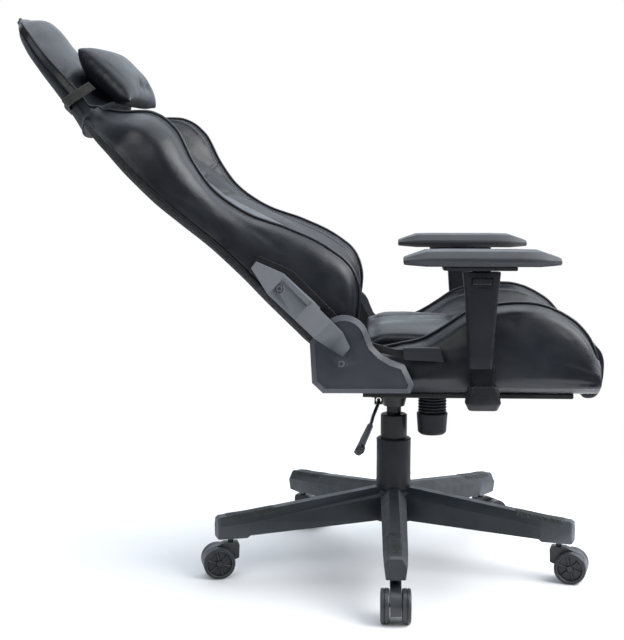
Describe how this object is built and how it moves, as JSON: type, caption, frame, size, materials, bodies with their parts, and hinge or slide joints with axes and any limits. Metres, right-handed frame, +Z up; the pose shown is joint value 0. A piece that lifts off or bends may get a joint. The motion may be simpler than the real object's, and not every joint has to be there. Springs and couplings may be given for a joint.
{
  "type": "gaming chair",
  "caption": "High-back swivel gaming chair with a reclining winged backrest, head pillow, adjustable armrests, gas lift and a star base on twin-wheel casters.",
  "frame": {"origin": "middle of the chair's outline on the floor, seen from above, at the pictured pose; the gas column stands 154.8 mm forward (+X) and 33.8 mm to the left (+Y) of it", "axes": "+X the way the sitter faces, +Y the sitter's left, +Z up; the chair's middle plane is Y = 0.0338"},
  "size_m": [1.09, 0.6904, 1.0412],
  "materials": {
    "black_leather": "satin",
    "elastic_strap": "matte",
    "grey_plastic": "satin",
    "black_steel": "satin",
    "seat_board": "matte",
    "pad_plastic": "satin",
    "caster_nylon": "satin",
    "black_plastic": "satin"
  },
  "bodies": {
    "base": {"star_base": "black_plastic", "gas_cylinder": "black_steel", "column_sleeve": "black_plastic"},
    "lift": {"gas_piston": "black_steel"},
    "mechanism": {"mechanism_housing": "black_steel", "tension_barrel": "black_plastic"},
    "tension_knob": {"tension_knob": "black_plastic"},
    "gas_lever": {"gas_lever_rod": "black_steel", "gas_lever_grip": "grey_plastic"},
    "seat": {"seat_plate": "black_steel", "seat_board": "seat_board", "seat_cushion": "black_leather", "seat_front_roll": "black_leather", "seat_bolster_right": "black_leather", "seat_bolster_left": "black_leather", "side_cover_right": "grey_plastic", "side_cover_left": "grey_plastic", "recliner_plate_right": "black_steel", "recliner_plate_left": "black_steel", "armrest_bracket_right": "black_steel", "armrest_bracket_left": "black_steel", "armrest_stem_right": "black_plastic", "armrest_stem_left": "black_plastic"},
    "recline_lever": {"recline_lever": "black_steel", "recline_lever_grip": "grey_plastic"},
    "backrest": {"back_panel": "black_leather", "back_head": "black_leather", "head_pillow": "black_leather", "pillow_strap": "elastic_strap", "back_arm_right": "black_steel", "back_arm_left": "black_steel", "bracket_cover_right": "grey_plastic", "bracket_cover_left": "grey_plastic", "back_wing_right": "black_leather", "back_wing_left": "black_leather"},
    "armrest_sleeve_right": {"armrest_sleeve_right": "black_plastic"},
    "armrest_button_right": {"armrest_button_right": "black_plastic"},
    "armrest_plate_right": {"armrest_plate_right": "black_plastic"},
    "armrest_pad_right": {"armrest_pad_right": "pad_plastic"},
    "armrest_sleeve_left": {"armrest_sleeve_left": "black_plastic"},
    "armrest_button_left": {"armrest_button_left": "black_plastic"},
    "armrest_plate_left": {"armrest_plate_left": "black_plastic"},
    "armrest_pad_left": {"armrest_pad_left": "pad_plastic"},
    "caster_1": {"caster_hood_1": "caster_nylon"},
    "caster_wheel_1_right": {"caster_wheel_1_right": "caster_nylon"},
    "caster_wheel_1_left": {"caster_wheel_1_left": "caster_nylon"},
    "caster_2": {"caster_hood_2": "caster_nylon"},
    "caster_wheel_2_right": {"caster_wheel_2_right": "caster_nylon"},
    "caster_wheel_2_left": {"caster_wheel_2_left": "caster_nylon"},
    "caster_3": {"caster_hood_3": "caster_nylon"},
    "caster_wheel_3_right": {"caster_wheel_3_right": "caster_nylon"},
    "caster_wheel_3_left": {"caster_wheel_3_left": "caster_nylon"},
    "caster_4": {"caster_hood_4": "caster_nylon"},
    "caster_wheel_4_right": {"caster_wheel_4_right": "caster_nylon"},
    "caster_wheel_4_left": {"caster_wheel_4_left": "caster_nylon"},
    "caster_5": {"caster_hood_5": "caster_nylon"},
    "caster_wheel_5_right": {"caster_wheel_5_right": "caster_nylon"},
    "caster_wheel_5_left": {"caster_wheel_5_left": "caster_nylon"}
  },
  "joints": [
    {"name": "lift_slide", "type": "slide", "parent": "base", "child": "lift", "axis": [0, 0, 1], "range_m": [0, 0.08]},
    {"name": "seat_swivel", "type": "hinge", "parent": "lift", "child": "mechanism", "pos_m": [0.1548, 0.0338, 0.32], "axis": [0, 0, 1], "continuous": true},
    {"name": "seat_tilt", "type": "hinge", "parent": "mechanism", "child": "seat", "pos_m": [0.1248, 0.0338, 0.345], "axis": [0, -1, 0], "range_deg": [0, 12], "stiffness_Nm_per_rad": 150, "springref_deg": -22.92},
    {"name": "recline", "type": "hinge", "parent": "seat", "child": "backrest", "pos_m": [0.0628, 0.0338, 0.473], "axis": [0, 1, 0], "range_deg": [-20, 40]},
    {"name": "recline_lever_pull", "type": "hinge", "parent": "seat", "child": "recline_lever", "pos_m": [0.0628, 0.0338, 0.473], "axis": [0, -1, 0], "range_deg": [0, 25], "stiffness_Nm_per_rad": 2.5, "springref_deg": -20.05},
    {"name": "gas_lever_lift", "type": "hinge", "parent": "mechanism", "child": "gas_lever", "pos_m": [0.1248, -0.0062, 0.33], "axis": [-1, 0, 0], "range_deg": [0, 10], "stiffness_Nm_per_rad": 1, "springref_deg": -20.05},
    {"name": "tension_knob_turn", "type": "hinge", "parent": "mechanism", "child": "tension_knob", "pos_m": [0.2288, 0.0338, 0.28], "axis": [0, 0, 1], "range_deg": [-180, 540]},
    {"name": "armrest_height_right", "type": "slide", "parent": "seat", "child": "armrest_sleeve_right", "axis": [0, 0, 1], "range_m": [-0.025, 0.045]},
    {"name": "armrest_button_press_right", "type": "slide", "parent": "armrest_sleeve_right", "child": "armrest_button_right", "axis": [0, 1, 0], "range_m": [0, 0.0025], "stiffness_N_per_m": 400, "springref_m": -0.003},
    {"name": "armrest_turn_right", "type": "hinge", "parent": "armrest_sleeve_right", "child": "armrest_plate_right", "pos_m": [0.2988, -0.2282, 0.6], "axis": [0, 0, 1], "range_deg": [-15, 15]},
    {"name": "armrest_slide_right", "type": "slide", "parent": "armrest_plate_right", "child": "armrest_pad_right", "axis": [1, 0, 0], "range_m": [-0.025, 0.025]},
    {"name": "armrest_height_left", "type": "slide", "parent": "seat", "child": "armrest_sleeve_left", "axis": [0, 0, 1], "range_m": [-0.025, 0.045]},
    {"name": "armrest_button_press_left", "type": "slide", "parent": "armrest_sleeve_left", "child": "armrest_button_left", "axis": [0, -1, 0], "range_m": [0, 0.0025], "stiffness_N_per_m": 400, "springref_m": -0.003},
    {"name": "armrest_turn_left", "type": "hinge", "parent": "armrest_sleeve_left", "child": "armrest_plate_left", "pos_m": [0.2988, 0.2958, 0.6], "axis": [0, 0, 1], "range_deg": [-15, 15]},
    {"name": "armrest_slide_left", "type": "slide", "parent": "armrest_plate_left", "child": "armrest_pad_left", "axis": [1, 0, 0], "range_m": [-0.025, 0.025]},
    {"name": "caster_swivel_1", "type": "hinge", "parent": "base", "child": "caster_1", "pos_m": [0.1548, -0.2912, 0.07], "axis": [0, 0, 1], "continuous": true},
    {"name": "caster_swivel_2", "type": "hinge", "parent": "base", "child": "caster_2", "pos_m": [0.46389, -0.06663, 0.07], "axis": [0, 0, 1], "continuous": true},
    {"name": "caster_swivel_3", "type": "hinge", "parent": "base", "child": "caster_3", "pos_m": [0.34583, 0.29673, 0.07], "axis": [0, 0, 1], "continuous": true},
    {"name": "caster_swivel_4", "type": "hinge", "parent": "base", "child": "caster_4", "pos_m": [-0.03623, 0.29673, 0.07], "axis": [0, 0, 1], "continuous": true},
    {"name": "caster_swivel_5", "type": "hinge", "parent": "base", "child": "caster_5", "pos_m": [-0.15429, -0.06663, 0.07], "axis": [0, 0, 1], "continuous": true},
    {"name": "wheel_turn_1_right", "type": "hinge", "parent": "caster_1", "child": "caster_wheel_1_right", "pos_m": [0.1363, -0.3152, 0.03], "axis": [1, 0, 0], "continuous": true},
    {"name": "wheel_turn_1_left", "type": "hinge", "parent": "caster_1", "child": "caster_wheel_1_left", "pos_m": [0.1733, -0.3152, 0.03], "axis": [1, 0, 0], "continuous": true},
    {"name": "wheel_turn_2_right", "type": "hinge", "parent": "caster_2", "child": "caster_wheel_2_right", "pos_m": [0.48229, -0.09071, 0.03], "axis": [0.2588, 0.9659, 0], "continuous": true},
    {"name": "wheel_turn_2_left", "type": "hinge", "parent": "caster_2", "child": "caster_wheel_2_left", "pos_m": [0.49186, -0.05497, 0.03], "axis": [0.2588, 0.9659, 0], "continuous": true},
    {"name": "wheel_turn_3_right", "type": "hinge", "parent": "caster_3", "child": "caster_wheel_3_right", "pos_m": [0.37587, 0.29271, 0.03], "axis": [-0.5, 0.866, 0], "continuous": true},
    {"name": "wheel_turn_3_left", "type": "hinge", "parent": "caster_3", "child": "caster_wheel_3_left", "pos_m": [0.35736, 0.32475, 0.03], "axis": [-0.5, 0.866, 0], "continuous": true},
    {"name": "wheel_turn_4_right", "type": "hinge", "parent": "caster_4", "child": "caster_wheel_4_right", "pos_m": [-0.02, 0.27114, 0.03], "axis": [0.342, 0.9397, 0], "continuous": true},
    {"name": "wheel_turn_4_left", "type": "hinge", "parent": "caster_4", "child": "caster_wheel_4_left", "pos_m": [-0.00735, 0.30591, 0.03], "axis": [0.342, 0.9397, 0], "continuous": true},
    {"name": "wheel_turn_5_right", "type": "hinge", "parent": "caster_5", "child": "caster_wheel_5_right", "pos_m": [-0.18206, -0.05449, 0.03], "axis": [0.2419, -0.9703, 0], "continuous": true},
    {"name": "wheel_turn_5_left", "type": "hinge", "parent": "caster_5", "child": "caster_wheel_5_left", "pos_m": [-0.17311, -0.09039, 0.03], "axis": [0.2419, -0.9703, 0], "continuous": true}
  ]
}
